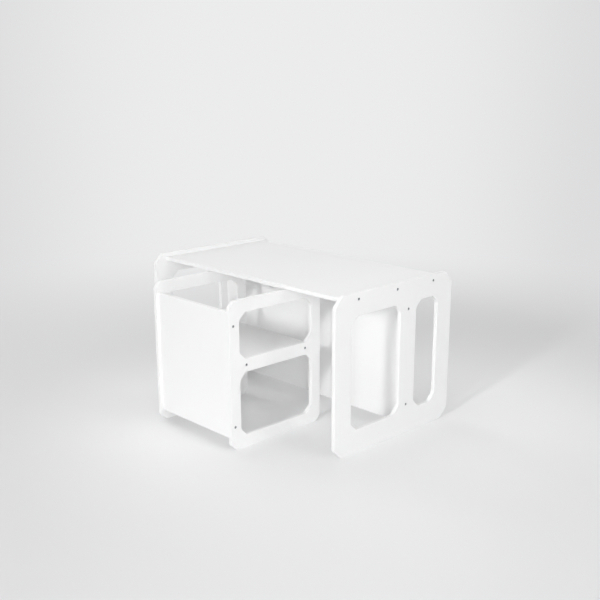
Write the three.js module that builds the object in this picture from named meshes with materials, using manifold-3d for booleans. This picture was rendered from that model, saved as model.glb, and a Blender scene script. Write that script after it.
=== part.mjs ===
// A low table for small children with a loose cube chair pushed half way under it.
// Both are made of flat painted boards that butt together and are held by countersunk screws.
// Millimetres, +Z up, +X along the table, the chair's back towards -Y. The origin lies on the floor
// below the middle of the whole set.

import * as THREE from 'three';
import { mergeVertices } from 'three/addons/utils/BufferGeometryUtils.js';
import Module from 'manifold-3d';

const wasm = await Module();
wasm.setup();

// Driving sizes of the boards
const boardThickness = 12;
const arrisRadius = 1;

// Driving sizes of the table
const tableLength = 820;
const tableDepth = 500;
const topSurfaceHeight = 452;
const panelRise = 12.5;
const topFrontSetback = 43;
const topRearSetback = 32;

// Driving sizes of the table's side panels
const panelMargin = 65;
const panelBottomRail = 70;
const panelPostWidth = 69;
const narrowOpeningWidth = 98.5;
const panelCorner = 30;
const panelOpeningCorner = 22;
const panelCornerBlend = 8;

// Driving sizes of the table's centre panel
const centrePanelLift = 30;

// Driving sizes of the chair
const chairWidth = 350;
const chairDepth = 350;
const chairHeadroom = 5;
const frameMargin = 36.5;
const frameBottomRail = 37;
const crossbarHeight = 38.5;
const crossbarRise = 12;
const frameCorner = 18;
const frameOpeningCorner = 21;
const frameCornerBlend = 6;
const backRecess = 9;
const backEndGap = 32.5;
const seatFrontSetback = 29;
const seatSurfaceHeight = 251;

// Where the chair stands
const chairLeftSpace = 221;
const chairReach = 157;

// Driving sizes of the screws and their insets
const screwHeadDiameter = 7.6;
const screwHeadRim = 0.6;
const screwShankDiameter = 5;
const screwLength = 50;
const screwTip = 2;
const socketAcross = 4;
const socketDepth = 3;
const screwSink = 0.2;
const topFrontScrewInset = 48;
const topRearScrewInset = 56.5;
const centreScrewInset = 60;
const backScrewInset = 37.5;
const seatRearScrewInset = 39;
const seatFrontScrewInset = 33;

// Clearance round each screw, and the overrun of every cut
const screwClearance = 0.3;
const cutOverrun = 2;

// How finely curves are divided
const arrisSegments = 2;
const blendSegments = 3;
const screwSegments = 16;
const socketSides = 6;

// Sizes that follow from the driving ones
const panelHeight = topSurfaceHeight + panelRise;
const setDepth = tableDepth + chairReach;
const tableFront = chairReach - setDepth / 2;
const chairFront = -setDepth / 2;
const chairLeft = chairLeftSpace - tableLength / 2;
const underTop = topSurfaceHeight - boardThickness;
const topDepth = tableDepth - topFrontSetback - topRearSetback;
const chairHeight = underTop - chairHeadroom;
const narrowOpeningFront = tableDepth - panelMargin - narrowOpeningWidth;
const wideOpeningRear = narrowOpeningFront - panelPostWidth;

// Material of the boards: satin white paint
function boardMaterial() {
  const material = new THREE.MeshStandardMaterial({ color: 0xf2f2f0, roughness: 0.5, metalness: 0 });
  material.name = 'satin_white';
  return material;
}

// Material of the screws: bright zinc
function screwMaterial() {
  const material = new THREE.MeshStandardMaterial({ color: 0xa8a9ab, roughness: 0.35, metalness: 1 });
  material.name = 'zinc';
  return material;
}

// A closed geometry with shared vertices as a solid for cutting
function toSolid(geometry) {
  const bare = geometry.clone();
  bare.deleteAttribute('normal');
  bare.deleteAttribute('uv');
  const merged = mergeVertices(bare);
  return new wasm.Manifold(new wasm.Mesh({
    numProp: 3,
    vertProperties: new Float32Array(merged.attributes.position.array),
    triVerts: new Uint32Array(merged.index.array),
  }));
}

// A solid back as a geometry with flat shading
function toGeometry(solid) {
  const mesh = solid.getMesh();
  const geometry = new THREE.BufferGeometry();
  geometry.setAttribute('position', new THREE.BufferAttribute(mesh.vertProperties, mesh.numProp));
  geometry.setIndex(new THREE.BufferAttribute(mesh.triVerts, 1));
  geometry.computeVertexNormals();
  return geometry;
}

// Cuts each of the given geometries out of the first one
function cutAll(geometry, cutters) {
  let solid = toSolid(geometry);
  for (const cutter of cutters) {
    solid = solid.subtract(toSolid(cutter));
  }
  return toGeometry(solid);
}

// Turns a shape drawn in Y and Z, and extruded along its own Z, so that it is extruded along +X
function alongX(geometry) {
  const basis = new THREE.Matrix4().makeBasis(
    new THREE.Vector3(0, 1, 0),
    new THREE.Vector3(0, 0, 1),
    new THREE.Vector3(1, 0, 0),
  );
  return geometry.applyMatrix4(basis);
}

// Draws a rectangle whose corners are cut at 45 degrees, with each cut blended into the sides
function drawChamferedRectangle(path, rectangle, corner, blend) {
  const { y0, z0, y1, z1 } = rectangle;
  const points = [
    [y0 + corner, z0], [y1 - corner, z0], [y1, z0 + corner], [y1, z1 - corner],
    [y1 - corner, z1], [y0 + corner, z1], [y0, z1 - corner], [y0, z0 + corner],
  ].map(([y, z]) => new THREE.Vector2(y, z));
  const towards = (from, to) => to.clone().sub(from).setLength(blend).add(from);
  points.forEach((point, index) => {
    const before = points[(index + points.length - 1) % points.length];
    const after = points[(index + 1) % points.length];
    const start = towards(point, before);
    const end = towards(point, after);
    if (index === 0) {
      path.moveTo(start.x, start.y);
    } else {
      path.lineTo(start.x, start.y);
    }
    path.quadraticCurveTo(point.x, point.y, end.x, end.y);
  });
  path.closePath();
  return path;
}

// An upright board in the Y and Z plane with chamfered corners, openings and softened edges.
// Its outer face is at x = 0 and it lies on the +X side of that face.
function uprightBoard(depth, height, corner, openings, openingCorner, blend) {
  const shape = new THREE.Shape();
  drawChamferedRectangle(shape, { y0: 0, z0: 0, y1: depth, z1: height }, corner, blend);
  for (const opening of openings) {
    shape.holes.push(drawChamferedRectangle(new THREE.Path(), opening, openingCorner, blend));
  }
  const geometry = new THREE.ExtrudeGeometry(shape, {
    depth: boardThickness - 2 * arrisRadius,
    curveSegments: blendSegments,
    bevelEnabled: true,
    bevelThickness: arrisRadius,
    bevelSize: arrisRadius,
    bevelOffset: -arrisRadius,
    bevelSegments: arrisSegments,
    steps: 1,
  });
  return alongX(geometry).translate(arrisRadius, 0, 0);
}

// A board that spans between two upright boards: a softened rectangle in Y and Z, square at its ends
function spanningBoard(length, ySize, zSize) {
  const shape = new THREE.Shape();
  shape.moveTo(arrisRadius, 0);
  shape.absarc(ySize - arrisRadius, arrisRadius, arrisRadius, -Math.PI / 2, 0);
  shape.absarc(ySize - arrisRadius, zSize - arrisRadius, arrisRadius, 0, Math.PI / 2);
  shape.absarc(arrisRadius, zSize - arrisRadius, arrisRadius, Math.PI / 2, Math.PI);
  shape.absarc(arrisRadius, arrisRadius, arrisRadius, Math.PI, 3 * Math.PI / 2);
  const geometry = new THREE.ExtrudeGeometry(shape, {
    depth: length,
    curveSegments: arrisSegments,
    bevelEnabled: false,
    steps: 1,
  });
  return alongX(geometry);
}

// A turned solid along +X from a profile of [x, radius] pairs that starts and ends on the axis
function turnedAlongX(profile, segments) {
  const points = profile.map(([x, radius]) => new THREE.Vector2(radius, x));
  return new THREE.LatheGeometry(points, segments).rotateZ(-Math.PI / 2);
}

// One screw along +X with its head's face at x = 0, a cone under the head and a hexagon socket
function screwGeometry() {
  const headRadius = screwHeadDiameter / 2;
  const shankRadius = screwShankDiameter / 2;
  const coneEnd = screwHeadRim + headRadius - shankRadius;
  const body = turnedAlongX([
    [0, 0],
    [0, headRadius],
    [screwHeadRim, headRadius],
    [coneEnd, shankRadius],
    [screwLength - screwTip, shankRadius],
    [screwLength, shankRadius - screwTip / 2],
    [screwLength, 0],
  ], screwSegments);
  const socketRadius = socketAcross / 2 / Math.cos(Math.PI / socketSides);
  const cutLength = socketDepth + cutOverrun;
  const socket = new THREE.CylinderGeometry(socketRadius, socketRadius, cutLength, socketSides);
  socket.rotateZ(-Math.PI / 2);
  socket.translate((socketDepth - cutOverrun) / 2, 0, 0);
  return cutAll(body, [socket]);
}

// The hole for one screw along +X, from outside the upright board's face at x = 0 to past the screw's tip
function screwHole() {
  const headRadius = screwHeadDiameter / 2 + screwClearance;
  const shankRadius = screwShankDiameter / 2 + screwClearance;
  const seat = screwSink + screwHeadRim;
  return turnedAlongX([
    [-cutOverrun, 0],
    [-cutOverrun, headRadius],
    [seat, headRadius],
    [seat + headRadius - shankRadius, shankRadius],
    [screwSink + screwLength + screwClearance, shankRadius],
    [screwSink + screwLength + screwClearance, 0],
  ], screwSegments);
}

// The screw holes at the given places, entered from the face at x = faceX towards +X or -X
function screwHoles(places, faceX, inward) {
  return places.map(({ y, z }) => {
    const hole = screwHole();
    if (inward < 0) {
      hole.rotateZ(Math.PI);
    }
    return hole.translate(faceX, y, z);
  });
}

function addMesh(group, name, geometry, material, x, y, z) {
  const mesh = new THREE.Mesh(geometry, material);
  mesh.name = name;
  mesh.position.set(x, y, z);
  group.add(mesh);
  return mesh;
}

// Adds one pair of like upright boards, each drilled from its own outer face
function addUprightPair(group, names, spanLength, board, places) {
  const outer = spanLength / 2;
  const left = cutAll(board, screwHoles(places, 0, 1));
  addMesh(group, names[0], left, boardMaterial(), -outer, 0, 0);
  const right = cutAll(board, screwHoles(places, boardThickness, -1));
  addMesh(group, names[1], right, boardMaterial(), outer - boardThickness, 0, 0);
}

// Adds a board between the uprights, drilled at both ends for the screws that hold it
function addSpanningBoard(group, name, spanLength, box, places) {
  const inner = spanLength - 2 * boardThickness;
  const board = spanningBoard(inner, box.ySize, box.zSize);
  board.translate(boardThickness, box.y, box.z);
  const holes = [...screwHoles(places, 0, 1), ...screwHoles(places, spanLength, -1)];
  addMesh(group, name, cutAll(board, holes), boardMaterial(), -spanLength / 2, 0, 0);
}

// Adds the screws of both sides; each place has the name of its screw
function addScrews(group, prefix, spanLength, places) {
  for (const side of ['left', 'right']) {
    const sign = side === 'left' ? 1 : -1;
    for (const place of places) {
      const mesh = addMesh(
        group,
        `${prefix}_screw_${side}_${place.name}`,
        screwGeometry(),
        screwMaterial(),
        -sign * (spanLength / 2 - screwSink),
        place.y,
        place.z,
      );
      mesh.rotation.z = sign > 0 ? 0 : Math.PI;
    }
  }
}

// The table: two side panels, the top and the centre panel, in a group whose front is at y = 0
function buildTable() {
  const table = new THREE.Group();
  table.position.y = tableFront;

  const topScrewHeight = topSurfaceHeight - boardThickness / 2;
  const topFrontScrew = topFrontSetback + topFrontScrewInset;
  const topRearScrew = topFrontSetback + topDepth - topRearScrewInset;
  const topScrews = [
    { name: 'top_front', y: topFrontScrew, z: topScrewHeight },
    { name: 'top_middle', y: (topFrontScrew + topRearScrew) / 2, z: topScrewHeight },
    { name: 'top_rear', y: topRearScrew, z: topScrewHeight },
  ];
  const postMiddle = (wideOpeningRear + narrowOpeningFront) / 2;
  const postScrews = [
    { name: 'post_lower', y: postMiddle, z: centrePanelLift + centreScrewInset },
    { name: 'post_upper', y: postMiddle, z: underTop - centreScrewInset },
  ];

  const openingTop = panelHeight - panelMargin;
  const openings = [
    { y0: panelMargin, z0: panelBottomRail, y1: wideOpeningRear, z1: openingTop },
    { y0: narrowOpeningFront, z0: panelBottomRail, y1: tableDepth - panelMargin, z1: openingTop },
  ];
  const board = uprightBoard(
    tableDepth, panelHeight, panelCorner, openings, panelOpeningCorner, panelCornerBlend,
  );
  addUprightPair(
    table, ['table_side_panel_left', 'table_side_panel_right'], tableLength, board,
    [...topScrews, ...postScrews],
  );
  addSpanningBoard(
    table, 'table_top', tableLength,
    { y: topFrontSetback, z: underTop, ySize: topDepth, zSize: boardThickness }, topScrews,
  );
  addSpanningBoard(
    table, 'table_centre_panel', tableLength,
    {
      y: postMiddle - boardThickness / 2,
      z: centrePanelLift,
      ySize: boardThickness,
      zSize: underTop - centrePanelLift,
    },
    postScrews,
  );
  addScrews(table, 'table', tableLength, [...topScrews, ...postScrews]);
  return table;
}

// The chair: two side frames, the back panel and the seat, in a group whose back is at y = 0
function buildChair() {
  const chair = new THREE.Group();
  chair.position.set(chairLeft + chairWidth / 2, chairFront, 0);

  const backScrewDepth = backRecess + boardThickness / 2;
  const backScrews = [
    { name: 'back_lower', y: backScrewDepth, z: backEndGap + backScrewInset },
    { name: 'back_upper', y: backScrewDepth, z: chairHeight - backEndGap - backScrewInset },
  ];
  const seatStart = backRecess + boardThickness;
  const seatEnd = chairDepth - seatFrontSetback;
  const seatScrewHeight = seatSurfaceHeight - boardThickness / 2;
  const seatScrews = [
    { name: 'seat_back', y: seatStart + seatRearScrewInset, z: seatScrewHeight },
    { name: 'seat_front', y: seatEnd - seatFrontScrewInset, z: seatScrewHeight },
  ];

  const crossbarTop = seatSurfaceHeight + crossbarRise;
  const openingEnd = chairDepth - frameMargin;
  const openings = [
    { y0: frameMargin, z0: frameBottomRail, y1: openingEnd, z1: crossbarTop - crossbarHeight },
    { y0: frameMargin, z0: crossbarTop, y1: openingEnd, z1: chairHeight - frameBottomRail },
  ];
  const board = uprightBoard(
    chairDepth, chairHeight, frameCorner, openings, frameOpeningCorner, frameCornerBlend,
  );
  addUprightPair(
    chair, ['chair_side_frame_left', 'chair_side_frame_right'], chairWidth, board,
    [...backScrews, ...seatScrews],
  );
  addSpanningBoard(
    chair, 'chair_back_panel', chairWidth,
    { y: backRecess, z: backEndGap, ySize: boardThickness, zSize: chairHeight - 2 * backEndGap },
    backScrews,
  );
  addSpanningBoard(
    chair, 'chair_seat', chairWidth,
    {
      y: seatStart,
      z: seatSurfaceHeight - boardThickness,
      ySize: seatEnd - seatStart,
      zSize: boardThickness,
    },
    seatScrews,
  );
  addScrews(chair, 'chair', chairWidth, [...backScrews, ...seatScrews]);
  return chair;
}

const tableAndChair = new THREE.Group();
tableAndChair.add(buildTable());
tableAndChair.add(buildChair());

export default tableAndChair;
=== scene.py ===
"""A low table for small children and its loose cube chair, made of white painted boards and zinc screws.

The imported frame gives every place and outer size, in metres with +Z up. This script dresses it: each board
is a closed shell with softened edges, cut-outs and countersunk screw holes, each screw is a turned body with
a hexagon socket and a thread, and both get a finish from shader nodes. A plain pale floor, soft studio light
and the camera complete the scene.
"""

import logging
import math
from collections.abc import Sequence
from dataclasses import dataclass, field
from enum import Enum

import bmesh
import bpy
import numpy as np
from mathutils import Matrix, Vector
from mathutils.geometry import tessellate_polygon


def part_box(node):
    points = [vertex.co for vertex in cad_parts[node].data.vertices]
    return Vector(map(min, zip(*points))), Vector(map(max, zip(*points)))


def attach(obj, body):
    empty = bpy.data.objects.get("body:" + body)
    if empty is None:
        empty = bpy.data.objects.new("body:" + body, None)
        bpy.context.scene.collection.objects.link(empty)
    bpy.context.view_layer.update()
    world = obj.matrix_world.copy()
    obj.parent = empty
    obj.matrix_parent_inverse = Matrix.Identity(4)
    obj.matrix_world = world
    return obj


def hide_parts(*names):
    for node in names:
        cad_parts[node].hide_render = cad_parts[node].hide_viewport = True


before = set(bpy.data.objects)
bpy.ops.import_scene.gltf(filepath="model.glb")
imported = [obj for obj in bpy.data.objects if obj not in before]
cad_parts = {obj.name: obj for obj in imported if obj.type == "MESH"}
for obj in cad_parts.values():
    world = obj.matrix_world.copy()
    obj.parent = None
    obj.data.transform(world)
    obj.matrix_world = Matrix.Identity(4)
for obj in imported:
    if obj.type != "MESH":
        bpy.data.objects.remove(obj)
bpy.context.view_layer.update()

EDGE_ATTRIBUTE = "edge"
RADIUS_ATTRIBUTE = "radius"
# A point whose normal leans from a board's broad face by this much (1 - cosine) is wholly an edge.
EDGE_TILT = 0.02
Colour = tuple[float, float, float]
log = logging.getLogger("kids_table")


class Body(Enum):
    """The two bodies that move against each other."""

    TABLE = "table"
    CHAIR = "chair"


class Slot(Enum):
    """The material slots of the boards and the screws."""

    BOARD = "white_board"
    SCREW = "screw_zinc"


class Axis(Enum):
    """An axis of the frame, as the index of its coordinate."""

    X = 0
    Y = 1
    Z = 2


class Side(Enum):
    """A side of the table or the chair, as the direction along X from there to the middle."""

    LEFT = 1
    RIGHT = -1


# Outlines and grids

@dataclass(frozen=True)
class Loop:
    """A closed outline in the Y and Z plane: (n, 2) points and unit normals that point out of the board."""

    points: np.ndarray
    normals: np.ndarray

    def as_opening(self) -> "Loop":
        """Returns the same outline as the edge of an opening, whose normals point into the opening."""
        return Loop(self.points, -self.normals)


def blended_loop(corners: np.ndarray, blend: float, support: float, steps: int) -> Loop:
    """Rounds the corners of a polygon that runs anticlockwise.

    At each corner P the sides are left at S and met again at E, both the blend away, and between them
    runs the parabola (1 - t)^2 S + 2 t (1 - t) P + t^2 E. One more point on each side, at the support's
    distance from the curve, keeps the shading of the straight stretches flat.

    Args:
        corners: the polygon's corners as an (n, 2) array.
        blend: distance from a corner to where its curve starts and ends.
        support: distance from a curve's end to the extra point on the straight side.
        steps: number of stretches that the parabola is divided into.

    Returns:
        The rounded outline, with normals that point out of the polygon.
    """
    before = np.roll(corners, 1, axis=0) - corners
    after = np.roll(corners, -1, axis=0) - corners
    before /= np.linalg.norm(before, axis=1, keepdims=True)
    after /= np.linalg.norm(after, axis=1, keepdims=True)
    start = (corners + blend * before)[:, None]
    end = (corners + blend * after)[:, None]
    middle, before, after = corners[:, None], before[:, None], after[:, None]
    t = np.linspace(0.0, 1.0, steps + 1)[None, :, None]
    curve = (1 - t) ** 2 * start + 2 * t * (1 - t) * middle + t**2 * end
    points = np.concatenate([start + support * before, curve, end + support * after], axis=1)
    tangents = np.concatenate([-before, t * after - (1 - t) * before, after], axis=1)
    tangents /= np.linalg.norm(tangents, axis=2, keepdims=True)
    normals = np.stack([tangents[..., 1], -tangents[..., 0]], axis=2)
    return Loop(points.reshape(-1, 2), normals.reshape(-1, 2))


def chamfered_corners(low: Sequence[float], high: Sequence[float], cut: float) -> np.ndarray:
    """The eight corners, anticlockwise, of a rectangle whose own corners are cut off at 45 degrees.

    Args:
        low: lowest Y and Z.
        high: highest Y and Z.
        cut: how much of each side a corner's cut takes.

    Returns:
        An (8, 2) array.
    """
    (y0, z0), (y1, z1) = low, high
    return np.array([
        [y0 + cut, z0], [y1 - cut, z0], [y1, z0 + cut], [y1, z1 - cut],
        [y1 - cut, z1], [y0 + cut, z1], [y0, z1 - cut], [y0, z0 + cut],
    ])


def rectangle_corners(low: Sequence[float], high: Sequence[float]) -> np.ndarray:
    """Returns the four corners of a rectangle in Y and Z, anticlockwise, as a (4, 2) array."""
    (y0, z0), (y1, z1) = low, high
    return np.array([[y0, z0], [y1, z0], [y1, z1], [y0, z1]])


@dataclass(frozen=True)
class Arris:
    """How an edge is softened: a quarter circle, with points on either side that keep the faces flat."""

    radius: float
    support: float
    steps: int

    def profile(self, thickness: float) -> np.ndarray:
        """The section of a softened edge, from one face of a board to the other.

        At the angle a from the face, the inset is radius (1 - sin a) and the depth radius (1 - cos a).

        Args:
            thickness: distance between the two faces.

        Returns:
            An (m, 2) array of inset from the outline and depth below the first face.
        """
        angle = np.linspace(0.0, math.pi / 2, self.steps + 1)
        quarter = self.radius * np.stack([1 - np.sin(angle), 1 - np.cos(angle)], axis=1)
        reach = self.radius + self.support
        first = np.vstack([[reach, 0.0], quarter, [0.0, reach]])
        second = first[::-1] * [1.0, -1.0] + [0.0, thickness]
        return np.vstack([first, second])


def band(loop: Loop, profile: np.ndarray, x_start: float) -> np.ndarray:
    """Carries a profile of inset and depth round a loop.

    A point is (x_start + depth, point of the loop - inset x normal of the loop).

    Args:
        loop: the outline that the profile follows.
        profile: (m, 2) rows of inset and depth.
        x_start: X where the depth is zero.

    Returns:
        An (m, n, 3) grid, closed round the loop.
    """
    inset, depth = profile[:, 0, None, None], profile[:, 1, None, None]
    plane = loop.points[None] - inset * loop.normals[None]
    x = np.broadcast_to(x_start + depth, plane.shape[:2] + (1,))
    return np.concatenate([x, plane], axis=2)


def turned(x: np.ndarray, radius: np.ndarray, centre: Sequence[float], segments: int) -> np.ndarray:
    """Turns rows of X and radius round an axis along X.

    A point is (x, centre y + r cos a, centre z + r sin a), where the angle a goes once round.

    Args:
        x: (m,) places along the axis.
        radius: (m, 1) radii, or (m, segments) where they change with the angle.
        centre: Y and Z of the axis.
        segments: number of points round the axis.

    Returns:
        An (m, segments, 3) grid, closed round the axis.
    """
    angle = turn_angles(segments)
    y = centre[0] + radius * np.cos(angle)
    z = centre[1] + radius * np.sin(angle)
    return np.stack([np.broadcast_to(x[:, None], y.shape), y, z], axis=2)


def turn_angles(segments: int) -> np.ndarray:
    """Returns evenly spread angles once round, the last one left out."""
    return np.linspace(0.0, 2 * math.pi, segments, endpoint=False)


class Shell:
    """One closed mesh in the making: grids, flat caps between rings, and points that close a ring."""

    def __init__(self) -> None:
        """Starts with no points and no faces."""
        self.points: list[np.ndarray] = []
        self.faces: list[list[int]] = []
        self.count = 0

    def add_points(self, points: np.ndarray) -> np.ndarray:
        """Adds points to the mesh.

        Args:
            points: places as an array of shape (..., 3).

        Returns:
            The index of each point, in the array's own shape without its last axis.
        """
        flat = points.reshape(-1, 3)
        index = np.arange(self.count, self.count + len(flat)).reshape(points.shape[:-1])
        self.points.append(flat)
        self.count += len(flat)
        return index

    def add_grid(self, grid: np.ndarray) -> np.ndarray:
        """Adds a grid that is closed along its second axis, and faces it with quads.

        Args:
            grid: (m, n, 3) places.

        Returns:
            The (m, n) indexes of its points.
        """
        index = self.add_points(grid)
        after = np.roll(index, -1, axis=1)
        quads = np.stack([index[:-1], after[:-1], after[1:], index[1:]], axis=2)
        self.faces.extend(quads.reshape(-1, 4).tolist())
        return index

    def add_pole(self, ring: np.ndarray, point: Sequence[float]) -> None:
        """Closes a ring with triangles that meet at one point.

        Args:
            ring: the indexes of the ring's points.
            point: the place where the triangles meet.
        """
        pole = self.add_points(np.array([point]))[0]
        fan = np.stack([ring, np.roll(ring, -1), np.full_like(ring, pole)], axis=1)
        self.faces.extend(fan.tolist())

    def add_cap(self, rings: Sequence[np.ndarray]) -> None:
        """Fills the flat space between an outer ring and the rings of the holes in it.

        Args:
            rings: the indexes of each ring's points, the outer ring first.
        """
        points = np.vstack(self.points)
        filled = tessellate_polygon([points[ring][:, 1:].tolist() for ring in rings])
        self.faces.extend(np.concatenate(rings)[np.array(filled)].tolist())

    def to_object(self, name: str) -> bpy.types.Object:
        """Makes the mesh, with its faces pointing outwards, and puts it in the scene at the origin.

        Args:
            name: the new piece's name.

        Returns:
            The new object.
        """
        mesh = bpy.data.meshes.new(name)
        mesh.from_pydata(np.vstack(self.points), [], self.faces)
        work = bmesh.new()
        work.from_mesh(mesh)
        bmesh.ops.recalc_face_normals(work, faces=work.faces)
        work.to_mesh(mesh)
        work.free()
        mesh.shade_smooth()
        piece = bpy.data.objects.new(name, mesh)
        bpy.context.scene.collection.objects.link(piece)
        return piece


def add_attribute(piece: bpy.types.Object, name: str, values: np.ndarray) -> None:
    """Stores one number for each point of a piece under the given name."""
    attribute = piece.data.attributes.new(name, "FLOAT", "POINT")
    attribute.data.foreach_set("value", values.astype(np.float32))


def mesh_vectors(piece: bpy.types.Object, key: str) -> np.ndarray:
    """Reads the places or the normals of a piece's points.

    Args:
        piece: the piece.
        key: "co" for the places, "normal" for the normals.

    Returns:
        An (n, 3) array.
    """
    values = np.zeros(len(piece.data.vertices) * 3, np.float32)
    piece.data.vertices.foreach_get(key, values)
    return values.reshape(-1, 3)


# Finishes

class NodeGraph:
    """The node tree of a material, a world or a lamp, with short ways to add and link nodes."""

    def __init__(self, owner: bpy.types.Material | bpy.types.World | bpy.types.Light) -> None:
        """Clears the owner's node tree down to a new output node.

        Args:
            owner: the material, world or lamp.
        """
        owner.use_nodes = True
        self.tree = owner.node_tree
        self.tree.nodes.clear()
        self.output = self.tree.nodes.new(f"ShaderNodeOutput{owner.id_type.title()}")

    @classmethod
    def of_material(cls, name: str) -> tuple["NodeGraph", bpy.types.Material]:
        """Makes a material and returns its graph and the material."""
        material = bpy.data.materials.new(name)
        return cls(material), material

    def add(self, kind: str, settings: dict | None = None, **inputs: object) -> bpy.types.Node:
        """Adds a node.

        Args:
            kind: the node's type.
            settings: the node's own properties.
            inputs: a value, or an output socket to link, for each input. An underscore stands for a space.

        Returns:
            The new node.
        """
        node = self.tree.nodes.new(kind)
        for key, value in (settings or {}).items():
            setattr(node, key, value)
        for key, value in inputs.items():
            self.put(value, node.inputs[key.replace("_", " ")])
        return node

    def put(self, value: object, socket: bpy.types.NodeSocket) -> None:
        """Gives an input socket a value, or links an output socket to it.

        Args:
            value: the value, or the output socket.
            socket: the input socket.
        """
        if isinstance(value, bpy.types.NodeSocket):
            self.tree.links.new(value, socket)
        else:
            socket.default_value = value

    def place(self) -> bpy.types.NodeSocket:
        """Returns the coordinates of the shared frame, which are every piece's own."""
        return self.add("ShaderNodeTexCoord").outputs["Object"]

    def attribute(self, name: str) -> bpy.types.NodeSocket:
        """Returns a number that is stored on the mesh."""
        return self.add("ShaderNodeAttribute", {"attribute_name": name}).outputs["Fac"]

    def noise(self, place: bpy.types.NodeSocket, scale: float, detail: float) -> bpy.types.NodeSocket:
        """Returns a noise value from 0 to 1 over the given coordinates."""
        return self.add("ShaderNodeTexNoise", Vector=place, Scale=scale, Detail=detail).outputs["Fac"]

    def spread(self, value: bpy.types.NodeSocket, low: float, high: float) -> bpy.types.NodeSocket:
        """Returns a value from 0 to 1 spread over the range from low to high."""
        return self.add("ShaderNodeMapRange", Value=value, To_Min=low, To_Max=high).outputs["Result"]

    def mixed(self, factor: object, first: object, second: object) -> bpy.types.NodeSocket:
        """Returns a number that goes from first to second with the factor."""
        node = self.add("ShaderNodeMix", {"data_type": "FLOAT"}, Factor=factor, A=first, B=second)
        return node.outputs["Result"]

    def mixed_colour(self, factor: object, first: Colour, second: Colour) -> bpy.types.NodeSocket:
        """Mixes two colours.

        Args:
            factor: 0 for the first colour, 1 for the second.
            first: the first colour.
            second: the second colour.

        Returns:
            The mixed colour.
        """
        node = self.add("ShaderNodeMix", {"data_type": "RGBA"}, Factor=factor)
        inputs = {socket.identifier: socket for socket in node.inputs}
        self.put((*first, 1.0), inputs["A_Color"])
        self.put((*second, 1.0), inputs["B_Color"])
        return next(socket for socket in node.outputs if socket.identifier == "Result_Color")

    def math(self, operation: str, first: object, second: object = 0.0) -> bpy.types.NodeSocket:
        """Does one mathematical operation on numbers.

        Args:
            operation: the operation.
            first: its first number.
            second: its second number, where it has one.

        Returns:
            The result.
        """
        node = self.add("ShaderNodeMath", {"operation": operation})
        self.put(first, node.inputs[0])
        self.put(second, node.inputs[1])
        return node.outputs["Value"]

    def vector(self, operation: str, result: str, first: object, second: object = (0.0, 0.0, 0.0),
               ) -> bpy.types.NodeSocket:
        """Does one operation on vectors.

        Args:
            operation: the operation.
            result: "Vector" or "Value", whichever the operation gives.
            first: its first vector.
            second: its second vector, where it has one.

        Returns:
            The named result.
        """
        node = self.add("ShaderNodeVectorMath", {"operation": operation})
        self.put(first, node.inputs[0])
        self.put(second, node.inputs[1])
        return node.outputs[result]

    def ramp(self, value: object, low: float, high: float) -> bpy.types.NodeSocket:
        """Returns a smooth step from 0 at the low value to 1 at the high one."""
        smooth = {"interpolation_type": "SMOOTHSTEP"}
        node = self.add("ShaderNodeMapRange", smooth, Value=value, From_Min=low, From_Max=high)
        return node.outputs["Result"]

    def mixed_shader(self, factor: object, first: bpy.types.Node, second: bpy.types.Node) -> bpy.types.Node:
        """Mixes two shaders.

        Args:
            factor: 0 for the first shader, 1 for the second.
            first: the first shader.
            second: the second shader.

        Returns:
            The mixed shader.
        """
        node = self.add("ShaderNodeMixShader")
        self.put(factor, node.inputs[0])
        self.put(first.outputs[0], node.inputs[1])
        self.put(second.outputs[0], node.inputs[2])
        return node

    def seen(self) -> bpy.types.NodeSocket:
        """Tells what is seen from what only gives light.

        Returns:
            1 where a surface is seen, straight or in a mirror or through glass, and otherwise 0.
        """
        path = self.add("ShaderNodeLightPath").outputs
        mirrored = self.math("MAXIMUM", path["Is Glossy Ray"], path["Is Transmission Ray"])
        return self.math("MAXIMUM", path["Is Camera Ray"], mirrored)


@dataclass(frozen=True)
class SatinPaint:
    """Satin white paint on routed board.

    The faces have a fine orange peel. The routed edges drink the paint, so they are a little duller and
    grainier. The edge attribute of a piece is 0 on its broad faces and 1 on its edges.
    """

    colour: Colour = (0.945, 0.945, 0.945)
    shade: Colour = (0.930, 0.930, 0.930)
    face_roughness: float = 0.6
    edge_roughness: float = 0.7
    gloss: float = 0.2
    roughness_spread: float = 0.06
    cloud_scale: float = 5.0
    cloud_detail: float = 4.0
    smear_scale: float = 40.0
    smear_detail: float = 3.0
    peel_scale: float = 420.0
    peel_detail: float = 2.0
    grain_scale: float = 1500.0
    grain_detail: float = 3.0
    relief: float = 0.00002

    def material(self, name: str) -> bpy.types.Material:
        """Makes a material with this finish.

        Args:
            name: the material's name.

        Returns:
            The new material.
        """
        graph, material = NodeGraph.of_material(name)
        place = graph.place()
        edge = graph.attribute(EDGE_ATTRIBUTE)
        clouds = graph.noise(place, self.cloud_scale, self.cloud_detail)
        tone = graph.mixed_colour(clouds, self.colour, self.shade)
        smear = graph.noise(place, self.smear_scale, self.smear_detail)
        rough = graph.math(
            "ADD",
            graph.mixed(edge, self.face_roughness, self.edge_roughness),
            graph.spread(smear, -self.roughness_spread / 2, self.roughness_spread / 2),
        )
        peel = graph.noise(place, self.peel_scale, self.peel_detail)
        grain = graph.noise(place, self.grain_scale, self.grain_detail)
        height = graph.mixed(edge, peel, grain)
        bump = graph.add("ShaderNodeBump", Strength=1.0, Distance=self.relief, Height=height)
        shader = graph.add(
            "ShaderNodeBsdfPrincipled", Base_Color=tone, Roughness=rough, Specular_IOR_Level=self.gloss,
            Normal=bump.outputs["Normal"],
        )
        graph.put(shader.outputs["BSDF"], graph.output.inputs["Surface"])
        return material


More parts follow.
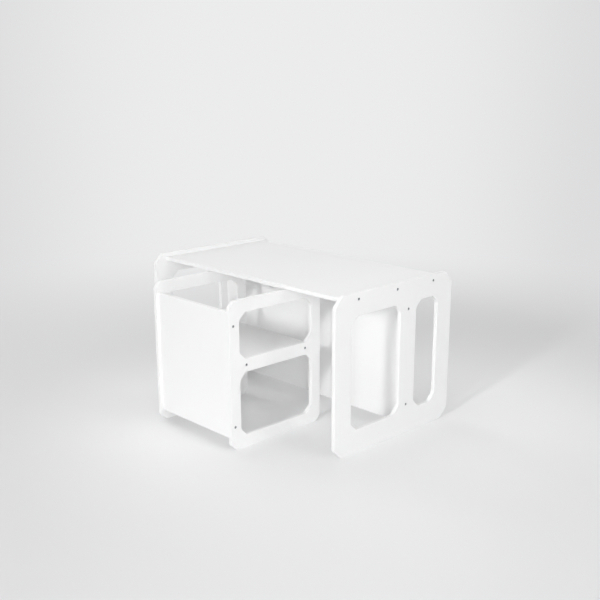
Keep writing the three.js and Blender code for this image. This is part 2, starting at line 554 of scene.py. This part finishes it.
@dataclass(frozen=True)
class ZincPlate:
    """Bright zinc plate on a turned screw, with fine rings from the lathe and slightly cloudy gloss."""

    colour: Colour = (0.46, 0.47, 0.48)
    shade: Colour = (0.37, 0.38, 0.40)
    roughness: float = 0.3
    roughness_spread: float = 0.12
    cloud_scale: float = 600.0
    cloud_detail: float = 4.0
    ring_pitch: float = 0.00018
    relief: float = 0.000004

    def material(self, name: str) -> bpy.types.Material:
        """Makes a material with this finish.

        Args:
            name: the material's name.

        Returns:
            The new material.
        """
        graph, material = NodeGraph.of_material(name)
        clouds = graph.noise(graph.place(), self.cloud_scale, self.cloud_detail)
        rough = graph.spread(
            clouds, self.roughness - self.roughness_spread / 2, self.roughness + self.roughness_spread / 2
        )
        turns = graph.math("MULTIPLY", graph.attribute(RADIUS_ATTRIBUTE), 2 * math.pi / self.ring_pitch)
        bump = graph.add(
            "ShaderNodeBump", Strength=1.0, Distance=self.relief, Height=graph.math("SINE", turns)
        )
        shader = graph.add(
            "ShaderNodeBsdfPrincipled", Metallic=1.0, Roughness=rough,
            Base_Color=graph.mixed_colour(clouds, self.colour, self.shade), Normal=bump.outputs["Normal"],
        )
        graph.put(shader.outputs["BSDF"], graph.output.inputs["Surface"])
        return material


# Screws and the holes that they sit in

@dataclass(frozen=True)
class ScrewHole:
    """A countersunk hole for a screw: its sizes, its axis and the side that it is entered from."""

    y: float
    z: float
    side: Side
    head_radius: float = 0.0041
    shank_radius: float = 0.0028
    head_seat: float = 0.0008
    lip: float = 0.00015
    support: float = 0.0004
    blind_depth: float = 0.0385
    segments: int = 36

    def through_rows(self, thickness: float) -> np.ndarray:
        """Rows of depth and radius through a side board: lip, head seat, cone and shank bore."""
        cone_end = self.head_seat + self.head_radius - self.shank_radius
        return np.array([
            [0.0, self.head_radius + self.support],
            [0.0, self.head_radius + self.lip],
            [self.lip, self.head_radius],
            [self.head_seat, self.head_radius],
            [cone_end, self.shank_radius],
            [thickness, self.shank_radius],
            [thickness, self.shank_radius + self.support],
        ])

    def blind_rows(self) -> np.ndarray:
        """Rows of depth and radius of the bore in the end of the board that the screw holds."""
        return np.array([
            [0.0, self.shank_radius + self.support],
            [0.0, self.shank_radius],
            [self.blind_depth, self.shank_radius],
        ])


@dataclass
class Screw:
    """A countersunk screw with a hexagon socket and a coarse thread, turned round an axis along X."""

    node: str
    body: Body
    side: Side
    rim: float = 0.0006
    rim_round: float = 0.0002
    shank_radius: float = 0.0025
    socket_across: float = 0.004
    socket_depth: float = 0.003
    socket_point: float = 0.0004
    socket_chamfer: float = 0.0002
    thread_start: float = 0.014
    thread_pitch: float = 0.0028
    thread_root: float = 0.002
    thread_crest: float = 0.0027
    thread_width_share: float = 0.5
    tip: float = 0.002
    segments: int = 36
    rows_per_turn: int = 8
    crease: float = math.radians(35.0)

    def build(self, material: bpy.types.Material, socket_turn: float) -> bpy.types.Object:
        """Builds the screw where its CAD node is, and takes that node's place.

        Args:
            material: its finish.
            socket_turn: angle in radians by which the screw is turned in.

        Returns:
            The new piece.
        """
        low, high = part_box(self.node)
        centre = ((low.y + high.y) / 2, (low.z + high.z) / 2)
        head_x = low.x if self.side is Side.LEFT else high.x
        depth, radius = self.rows((high.y - low.y) / 2, high.x - low.x, socket_turn)
        shell = Shell()
        index = shell.add_grid(turned(head_x + self.side.value * depth, radius, centre, self.segments))
        bottom = self.socket_depth + self.socket_point
        shell.add_pole(index[0], (head_x + self.side.value * bottom, *centre))
        shell.add_pole(index[-1], (head_x + self.side.value * depth[-1], *centre))
        piece = shell.to_object(f"{self.node}_turned")
        piece.data.set_sharp_from_angle(angle=self.crease)
        away = mesh_vectors(piece, "co")[:, 1:] - centre
        add_attribute(piece, RADIUS_ATTRIBUTE, np.linalg.norm(away, axis=1))
        piece.data.materials.append(material)
        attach(piece, self.body.value)
        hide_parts(self.node)
        return piece

    def rows(self, head_radius: float, length: float, socket_turn: float) -> tuple[np.ndarray, np.ndarray]:
        """Rows of depth below the head's face, and of radius at each angle.

        The hexagon's radius at the angle a is half its width across / cos(a, wrapped to 30 degrees either
        way). The thread is a helix: its ridge at the depth s stands where s / pitch - a / 2 pi is near a
        half, and it fades out over one turn at each end.

        Args:
            head_radius: radius of the head.
            length: whole length of the screw.
            socket_turn: angle of the hexagon.

        Returns:
            The (m,) depths and the (m, segments) radii.
        """
        angle = turn_angles(self.segments)
        sixth = math.pi / 3
        wrapped = (angle - socket_turn + sixth / 2) % sixth - sixth / 2
        hexagon = self.socket_across / 2 / np.cos(wrapped)
        mouth = self.socket_across / 2 / math.cos(sixth / 2) + self.socket_chamfer
        cone_end = self.rim + head_radius - self.shank_radius
        head = [
            (self.socket_depth, hexagon),
            (self.socket_chamfer, hexagon),
            (0.0, mouth),
            (0.0, head_radius - self.rim_round),
            (self.rim_round, head_radius),
            (self.rim, head_radius),
            (cone_end, self.shank_radius),
            (self.thread_start, self.shank_radius),
        ]
        thread_end = length - self.tip
        turns = (thread_end - self.thread_start) / self.thread_pitch
        s = np.linspace(self.thread_start, thread_end, round(turns * self.rows_per_turn))[1:, None]
        phase = (s / self.thread_pitch - angle / (2 * math.pi)) % 1.0
        ridge = np.clip(1 - np.abs(2 * phase - 1) / self.thread_width_share, 0.0, 1.0)
        fade = np.clip(np.minimum(s - self.thread_start, thread_end - s) / self.thread_pitch, 0.0, 1.0)
        thread = self.thread_root + (self.thread_crest - self.thread_root) * ridge * fade
        depth = np.concatenate([[row[0] for row in head], s[:, 0], [length]])
        first = np.array([np.broadcast_to(row[1], angle.shape) for row in head])
        last = np.full((1, self.segments), self.thread_root / 2)
        return depth, np.vstack([first, thread, last])


# Boards

@dataclass
class Board:
    """A board cut from flat stock, softened at its edges, drilled and painted."""

    node: str
    body: Body
    outline: Loop
    arris: Arris
    thin: Axis
    openings: list[Loop] = field(default_factory=list)
    holes: list[ScrewHole] = field(default_factory=list)

    def build(self, material: bpy.types.Material) -> bpy.types.Object:
        """Builds the board where its CAD node is, and takes that node's place.

        Args:
            material: its finish.

        Returns:
            The new piece.
        """
        low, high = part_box(self.node)
        length = high.x - low.x
        shell = Shell()
        caps: dict[Side, list[np.ndarray]] = {Side.LEFT: [], Side.RIGHT: []}
        for loop in [self.outline, *self.openings]:
            index = shell.add_grid(band(loop, self.arris.profile(length), low.x))
            caps[Side.LEFT].append(index[0])
            caps[Side.RIGHT].append(index[-1])
        for hole in self.holes:
            through = self.thin is Axis.X
            rows = hole.through_rows(length) if through else hole.blind_rows()
            entry = low.x if hole.side is Side.LEFT else high.x
            x = entry + hole.side.value * rows[:, 0]
            index = shell.add_grid(turned(x, rows[:, 1:], (hole.y, hole.z), hole.segments))
            caps[hole.side].append(index[0])
            if through:
                caps[Side(-hole.side.value)].append(index[-1])
            else:
                shell.add_pole(index[-1], (x[-1], hole.y, hole.z))
        for rings in caps.values():
            shell.add_cap(rings)
        piece = shell.to_object(f"{self.node}_painted")
        across = np.abs(mesh_vectors(piece, "normal")[:, self.thin.value])
        add_attribute(piece, EDGE_ATTRIBUTE, np.clip((1 - across) / EDGE_TILT, 0.0, 1.0))
        piece.data.materials.append(material)
        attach(piece, self.body.value)
        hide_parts(self.node)
        return piece


def spanning_board(node: str, body: Body, corner: Arris, end: Arris, thin: Axis,
                   holes: list[ScrewHole]) -> Board:
    """A plain board between two side boards, as long as its CAD node.

    Args:
        node: the CAD node that gives its size and place.
        body: the body that it belongs to.
        corner: the rounding of its long edges.
        end: the much smaller rounding of its ends.
        thin: the axis of its thickness.
        holes: the screw holes in its ends.

    Returns:
        The board.
    """
    low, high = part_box(node)
    corners = rectangle_corners((low.y, low.z), (high.y, high.z))
    outline = blended_loop(corners, corner.radius, corner.support, corner.steps)
    return Board(node, body, outline, end, thin, holes=holes)


def screw_holes(prefix: str, names: Sequence[str]) -> list[ScrewHole]:
    """Makes the holes of like-named screws on both sides, at the axes of the CAD's own screws.

    Args:
        prefix: start of the screws' names, before the side.
        names: ends of the screws' names, after the side.

    Returns:
        One hole for each screw.
    """
    holes = []
    for side in Side:
        for name in names:
            low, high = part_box(f"{prefix}_screw_{side.name.lower()}_{name}")
            holes.append(ScrewHole((low.y + high.y) / 2, (low.z + high.z) / 2, side))
    return holes


@dataclass
class Assembly:
    """What the table and the chair share: how their boards meet, their edges and their screws."""

    body: Body
    edge: Arris = Arris(radius=0.001, support=0.0003, steps=5)
    cut_end: Arris = Arris(radius=0.0003, support=0.0003, steps=2)
    blend_support: float = 0.001
    blend_steps: int = 10
    golden_turn: float = math.radians(137.5)

    def side_boards(self, name: str, corner: float, blend: float, openings: list[Loop],
                    holes: list[ScrewHole]) -> list[Board]:
        """The left and right boards, alike but for the side that their screws are driven from.

        Args:
            name: the CAD nodes' name without the side.
            corner: size of the cut corners.
            blend: how far each cut corner is rounded into the sides.
            openings: outlines of the openings.
            holes: screw holes of both sides.

        Returns:
            The two boards.
        """
        boards = []
        for side in Side:
            node = f"{name}_{side.name.lower()}"
            low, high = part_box(node)
            corners = chamfered_corners((low.y, low.z), (high.y, high.z), corner)
            outline = blended_loop(corners, blend, self.blend_support, self.blend_steps)
            own = [hole for hole in holes if hole.side is side]
            boards.append(Board(node, self.body, outline, self.edge, Axis.X, openings, own))
        return boards

    def opening(self, low: Sequence[float], high: Sequence[float], corner: float, blend: float) -> Loop:
        """Returns an opening with cut corners between its lowest and highest Y and Z."""
        corners = chamfered_corners(low, high, corner)
        return blended_loop(corners, blend, self.blend_support, self.blend_steps).as_opening()

    def dress(self, boards: Sequence[Board], paint: bpy.types.Material,
              zinc: bpy.types.Material) -> list[bpy.types.Object]:
        """Builds the boards and every screw of this body.

        Args:
            boards: the boards of the assembly.
            paint: the boards' finish.
            zinc: the screws' finish.

        Returns:
            The new pieces.
        """
        pieces = [board.build(paint) for board in boards]
        nodes = [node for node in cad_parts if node.startswith(f"{self.body.value}_screw_")]
        for count, node in enumerate(sorted(nodes)):
            side = Side.LEFT if "_left_" in node else Side.RIGHT
            pieces.append(Screw(node, self.body, side).build(zinc, count * self.golden_turn))
        for piece in pieces:
            log.info("%s: %d points, on the %s", piece.name, len(piece.data.vertices), self.body.value)
        return pieces


@dataclass
class Table(Assembly):
    """The table: two side panels with a wide and a narrow cut-out, the top and the centre panel."""

    body: Body = Body.TABLE
    margin: float = 0.065
    bottom_rail: float = 0.070
    post: float = 0.069
    narrow_opening: float = 0.0985
    corner: float = 0.030
    opening_corner: float = 0.022
    blend: float = 0.008

    def build(self, paint: bpy.types.Material, zinc: bpy.types.Material) -> list[bpy.types.Object]:
        """Builds the table's boards and screws.

        Args:
            paint: the boards' finish.
            zinc: the screws' finish.

        Returns:
            The new pieces.
        """
        low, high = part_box("table_side_panel_left")
        bottom, top = low.z + self.bottom_rail, high.z - self.margin
        narrow_rear = high.y - self.margin
        narrow_front = narrow_rear - self.narrow_opening
        wide_front, wide_rear = low.y + self.margin, narrow_front - self.post
        openings = [
            self.opening((wide_front, bottom), (wide_rear, top), self.opening_corner, self.blend),
            self.opening((narrow_front, bottom), (narrow_rear, top), self.opening_corner, self.blend),
        ]
        top_holes = screw_holes("table", ["top_front", "top_middle", "top_rear"])
        post_holes = screw_holes("table", ["post_lower", "post_upper"])
        boards = self.side_boards(
            "table_side_panel", self.corner, self.blend, openings, top_holes + post_holes
        )
        boards.append(spanning_board("table_top", self.body, self.edge, self.cut_end, Axis.Z, top_holes))
        boards.append(
            spanning_board("table_centre_panel", self.body, self.edge, self.cut_end, Axis.Y, post_holes)
        )
        return self.dress(boards, paint, zinc)


@dataclass
class Chair(Assembly):
    """The cube chair: two side frames with two cut-outs each, the back panel and the seat."""

    body: Body = Body.CHAIR
    margin: float = 0.0365
    rail: float = 0.037
    crossbar: float = 0.0385
    crossbar_rise: float = 0.012
    corner: float = 0.018
    opening_corner: float = 0.021
    blend: float = 0.006

    def build(self, paint: bpy.types.Material, zinc: bpy.types.Material) -> list[bpy.types.Object]:
        """Builds the chair's boards and screws.

        Args:
            paint: the boards' finish.
            zinc: the screws' finish.

        Returns:
            The new pieces.
        """
        low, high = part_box("chair_side_frame_left")
        front, rear = low.y + self.margin, high.y - self.margin
        bar_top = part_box("chair_seat")[1].z + self.crossbar_rise
        spans = [(low.z + self.rail, bar_top - self.crossbar), (bar_top, high.z - self.rail)]
        openings = [
            self.opening((front, bottom), (rear, top), self.opening_corner, self.blend)
            for bottom, top in spans
        ]
        back_holes = screw_holes("chair", ["back_lower", "back_upper"])
        seat_holes = screw_holes("chair", ["seat_back", "seat_front"])
        boards = self.side_boards(
            "chair_side_frame", self.corner, self.blend, openings, back_holes + seat_holes
        )
        boards.append(
            spanning_board("chair_back_panel", self.body, self.edge, self.cut_end, Axis.Y, back_holes)
        )
        boards.append(spanning_board("chair_seat", self.body, self.edge, self.cut_end, Axis.Z, seat_holes))
        return self.dress(boards, paint, zinc)


# The studio

def towards(azimuth: float, elevation: float) -> Vector:
    """Returns the direction at an azimuth, from -Y round to +X, and an elevation, both in degrees."""
    a, e = math.radians(azimuth), math.radians(elevation)
    return Vector((math.sin(a) * math.cos(e), -math.cos(a) * math.cos(e), math.sin(e)))


@dataclass(frozen=True)
class PaleAir:
    """The pale background, with a painted pool of light that makes it a little brighter round one direction.

    On the far floor the direction is taken from a spot near the front of the set.
    """

    colour: Colour = (0.722, 0.722, 0.730)
    # Painted light: the background's colour where its painted pool of light is brightest.
    glow: Colour = (0.838, 0.838, 0.844)
    azimuth: float = 227.0
    reach: float = 19.5
    spot: tuple[float, float, float] = (1.95, -1.80, 0.0)

    def seen_in(self, graph: NodeGraph, direction: bpy.types.NodeSocket) -> bpy.types.NodeSocket:
        """Returns the background's colour in a direction, which depends on nothing but that direction."""
        # Painted light: the colour lightens from the air's colour to the glow towards the azimuth, within
        # the reach.
        nearness = graph.vector("DOT_PRODUCT", "Value", direction, towards(self.azimuth, 0.0))
        return graph.mixed_colour(
            graph.ramp(nearness, math.cos(math.radians(self.reach)), 1.0), self.colour, self.glow
        )

    def seen_past(self, graph: NodeGraph, place: bpy.types.NodeSocket) -> bpy.types.NodeSocket:
        """Returns the background's colour in the direction from the spot to a place."""
        offset = graph.vector("SUBTRACT", "Vector", place, self.spot)
        return self.seen_in(graph, graph.vector("NORMALIZE", "Vector", offset))


@dataclass(frozen=True)
class StudioPaper:
    """The pale paper of the floor, darkened a little to the front by painted light falloff, and lost in the
    air far away.
    """

    colour: Colour = (0.895, 0.895, 0.900)
    # Colour of the floor where the painted shade of the light falloff is full.
    falloff: Colour = (0.756, 0.756, 0.761)
    falloff_centre: tuple[float, float, float] = (0.21, 0.21, 0.0)
    falloff_start: float = 0.42
    falloff_end: float = 1.24
    fade_start: float = 0.4
    fade_end: float = 2.7

    def material(self, name: str, air: PaleAir) -> bpy.types.Material:
        """Makes a material with this finish, for a floor that fades into the background.

        Args:
            name: the material's name.
            air: the background.

        Returns:
            The new material.
        """
        graph, material = NodeGraph.of_material(name)
        place = graph.place()
        # Painted light falloff: the paper's colour darkens with distance from the falloff centre.
        away = graph.vector("DISTANCE", "Value", place, self.falloff_centre)
        tone = graph.mixed_colour(
            graph.ramp(away, self.falloff_start, self.falloff_end), self.colour, self.falloff
        )
        paper = graph.add("ShaderNodeBsdfDiffuse", Color=tone)
        # The far floor shows the background's colour, including its painted pool of light.
        haze = graph.add("ShaderNodeEmission", Color=air.seen_past(graph, place), Strength=1.0)
        reach = graph.ramp(graph.vector("LENGTH", "Value", place), self.fade_start, self.fade_end)
        blend = graph.mixed_shader(graph.math("MULTIPLY", reach, graph.seen()), paper, haze)
        graph.put(blend.outputs["Shader"], graph.output.inputs["Surface"])
        return material


@dataclass(frozen=True)
class SoftLamp:
    """A round soft lamp, turned to the middle of the set, that shows neither to the camera nor in gloss.

    A steady lamp is as strong everywhere as it is at the middle.
    """

    name: str
    azimuth: float
    elevation: float
    distance: float
    diameter: float
    power: float
    steady: bool = False

    def build(self, middle: Vector) -> None:
        """Makes the lamp.

        Args:
            middle: the middle of the set, which the lamp faces from its distance.
        """
        data = bpy.data.lights.new(self.name, "AREA")
        data.shape = "DISK"
        data.size = self.diameter
        data.energy = self.power
        lamp = bpy.data.objects.new(self.name, data)
        direction = towards(self.azimuth, self.elevation)
        lamp.location = middle + self.distance * direction
        lamp.rotation_euler = direction.to_track_quat("Z", "Y").to_euler()
        lamp.visible_camera = False
        lamp.visible_glossy = False
        if self.steady:
            self.hold_level(data)
        bpy.context.scene.collection.objects.link(lamp)

    def hold_level(self, data: bpy.types.Light) -> None:
        """Keeps the lamp's light from falling off with the distance.

        Args:
            data: the lamp's data.
        """
        graph = NodeGraph(data)
        steady = graph.add("ShaderNodeLightFalloff", Strength=1.0).outputs["Constant"]
        glow = graph.add("ShaderNodeEmission", Strength=graph.math("MULTIPLY", steady, self.distance**-2))
        graph.put(glow.outputs["Emission"], graph.output.inputs["Surface"])


@dataclass(frozen=True)
class PaleWall:
    """Soft light as from a pale wall: strength x max(0, d . w) from a direction d, where w points to it."""

    azimuth: float
    strength: float

    def light(self, graph: NodeGraph, direction: bpy.types.NodeSocket) -> bpy.types.NodeSocket:
        """Returns how bright the wall is in a direction."""
        facing = graph.vector("DOT_PRODUCT", "Value", direction, towards(self.azimuth, 0.0))
        return graph.math("MULTIPLY", graph.math("MAXIMUM", facing, 0.0), self.strength)


@dataclass(frozen=True)
class Studio:
    """The floor, the light and the camera, none of which is part of the object."""

    floor_radius: float = 40.0
    floor_rings: int = 11
    floor_segments: int = 96
    middle: tuple[float, float, float] = (0.0, 0.0, 0.22)
    paper: StudioPaper = StudioPaper()
    air: PaleAir = PaleAir()
    lamps: tuple[SoftLamp, ...] = (
        SoftLamp("key", azimuth=18.0, elevation=21.5, distance=3.77, diameter=0.45, power=44.7, steady=True),
        SoftLamp("fill_front", azimuth=46.0, elevation=15.0, distance=8.0, diameter=2.4, power=96.0),
        SoftLamp("box_right", azimuth=55.0, elevation=18.0, distance=2.8, diameter=1.2, power=9.5),
        SoftLamp("box_side", azimuth=90.0, elevation=20.0, distance=2.8, diameter=1.2, power=6.4),
        SoftLamp("box_high", azimuth=90.0, elevation=50.0, distance=2.8, diameter=1.2, power=4.8),
        SoftLamp("box_left", azimuth=270.0, elevation=25.0, distance=6.0, diameter=4.8, power=110.0),
        SoftLamp("box_top", azimuth=45.0, elevation=82.5, distance=2.6, diameter=2.4, power=11.5),
    )
    even_light: float = 0.268
    wall: PaleWall = PaleWall(azimuth=235.0, strength=0.6)
    camera_position: tuple[float, float, float] = (2.0068, -1.8310, 1.0391)
    camera_heading: float = 45.998
    camera_tilt: float = 16.128
    camera_roll: float = 0.102
    image_side: float = 600.0
    focal_length: float = 908.3
    axis_right: float = 3.2
    axis_down: float = 31.6
    sensor: float = 36.0

    def build(self) -> None:
        """Makes the floor, the world, the lamps and the camera."""
        self.make_floor()
        self.make_world()
        for lamp in self.lamps:
            lamp.build(Vector(self.middle))
        self.make_camera()

    def make_floor(self) -> None:
        """Makes the floor: rings round the origin whose radius grows with the square of their number."""
        shares = np.linspace(0.0, 1.0, self.floor_rings + 1)[1:] ** 2
        radius = np.broadcast_to((self.floor_radius * shares)[:, None], (len(shares), self.floor_segments))
        angle = turn_angles(self.floor_segments)
        grid = np.stack([radius * np.cos(angle), radius * np.sin(angle), np.zeros_like(radius)], axis=2)
        shell = Shell()
        index = shell.add_grid(grid)
        shell.add_pole(index[0], (0.0, 0.0, 0.0))
        floor = shell.to_object("studio_floor")
        floor.data.materials.append(self.paper.material("studio_paper", self.air))

    def make_world(self) -> None:
        """Makes the world: the even light of the room, the soft light of the wall and the background."""
        world = bpy.data.worlds.new("studio_air")
        graph = NodeGraph(world)
        direction = graph.add("ShaderNodeTexCoord").outputs["Generated"]
        shine = graph.math("ADD", self.wall.light(graph, direction), self.even_light)
        light = graph.add("ShaderNodeBackground", Color=(1.0, 1.0, 1.0, 1.0), Strength=shine)
        # The background that is seen shows the air's colour, including its painted pool of light.
        seen = graph.add("ShaderNodeBackground", Color=self.air.seen_in(graph, direction), Strength=1.0)
        mix = graph.mixed_shader(graph.seen(), light, seen)
        graph.put(mix.outputs["Shader"], graph.output.inputs["Surface"])
        bpy.context.scene.world = world

    def make_camera(self) -> None:
        """Makes the camera from its place, heading, tilt and roll.

        It looks along (-sin h cos t, cos h cos t, -sin t) for the heading h and the tilt t.
        """
        heading, tilt = math.radians(self.camera_heading), math.radians(self.camera_tilt)
        roll = math.radians(self.camera_roll)
        forward = Vector((
            -math.sin(heading) * math.cos(tilt), math.cos(heading) * math.cos(tilt), -math.sin(tilt)
        ))
        level = Vector((math.cos(heading), math.sin(heading), 0.0))
        down = forward.cross(level)
        right = math.cos(roll) * level + math.sin(roll) * down
        up = forward.cross(right) * -1.0
        turn = Matrix((right, up, -forward)).transposed()
        data = bpy.data.cameras.new("camera")
        data.sensor_width = self.sensor
        data.lens = self.focal_length / self.image_side * self.sensor
        data.shift_x = -self.axis_right / self.image_side
        data.shift_y = self.axis_down / self.image_side
        camera = bpy.data.objects.new("camera", data)
        camera.matrix_world = Matrix.Translation(self.camera_position) @ turn.to_4x4()
        bpy.context.scene.collection.objects.link(camera)
        bpy.context.scene.camera = camera


def main() -> None:
    """Builds the table, the chair and the studio, and reports each piece."""
    logging.basicConfig(level=logging.INFO, format="%(name)s: %(message)s")
    paint = SatinPaint().material("satin_white_paint")
    zinc = ZincPlate().material("bright_zinc_plate")
    pieces = Table().build(paint, zinc) + Chair().build(paint, zinc)
    Studio().build()
    bpy.context.scene.view_settings.view_transform = "Standard"
    log.info("%d pieces", len(pieces))


if __name__ == "__main__":
    main()
